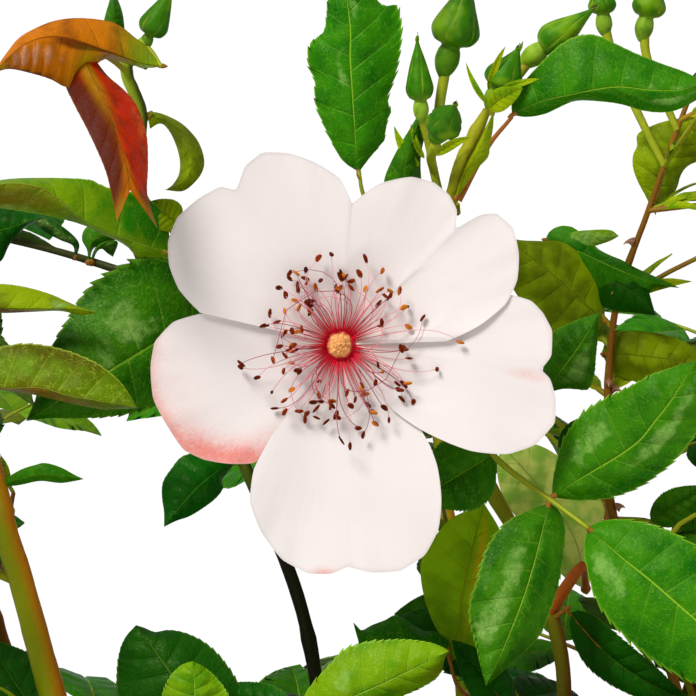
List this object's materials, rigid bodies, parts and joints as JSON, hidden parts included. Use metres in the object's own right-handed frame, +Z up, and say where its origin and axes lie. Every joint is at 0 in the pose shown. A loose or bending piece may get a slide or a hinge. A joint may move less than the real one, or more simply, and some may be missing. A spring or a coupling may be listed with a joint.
{
  "type": "potted groundcover rose",
  "caption": "Low bushy rose with single pale pink blooms, buds and compound leaves on arching canes, in a plain round clay pot.",
  "frame": {"origin": "middle of the pot's flat underside", "axes": "+Z up along the pot's axis; -Y towards the viewer whom the front bloom faces; +X to that viewer's right"},
  "size_m": [0.3921, 0.354, 0.4047],
  "materials": {
    "terracotta": "matte fired clay",
    "soil": "crumbly, moist",
    "cane": "smooth green to red-brown bark",
    "foliage": "glossy leaf",
    "petals": "soft matte petal"
  },
  "bodies": {
    "root": {"pot": "terracotta", "soil": "soil", "cane_left": "cane", "cane_shoot": "cane", "cane_buds": "cane", "cane_right": "cane", "cane_low": "cane", "cane_front_right": "cane", "cane_right_front": "cane", "cane_right_side": "cane", "cane_right_back": "cane", "cane_back": "cane", "cane_back_left": "cane", "cane_left_back": "cane", "cane_left_low": "cane", "cane_front_left": "cane", "foliage_left": "foliage", "foliage_shoot": "foliage", "foliage_buds": "foliage", "foliage_right": "foliage", "foliage_low": "foliage", "foliage_front_right": "foliage", "foliage_right_front": "foliage", "foliage_right_side": "foliage", "foliage_right_back": "foliage", "foliage_back": "foliage", "foliage_back_left": "foliage", "foliage_left_back": "foliage", "foliage_left_low": "foliage", "foliage_front_left": "foliage", "bloom_front": "petals", "bloom_right": "petals", "bloom_back_right": "petals", "bloom_back_left": "petals", "bloom_left": "petals"}
  },
  "joints": []
}
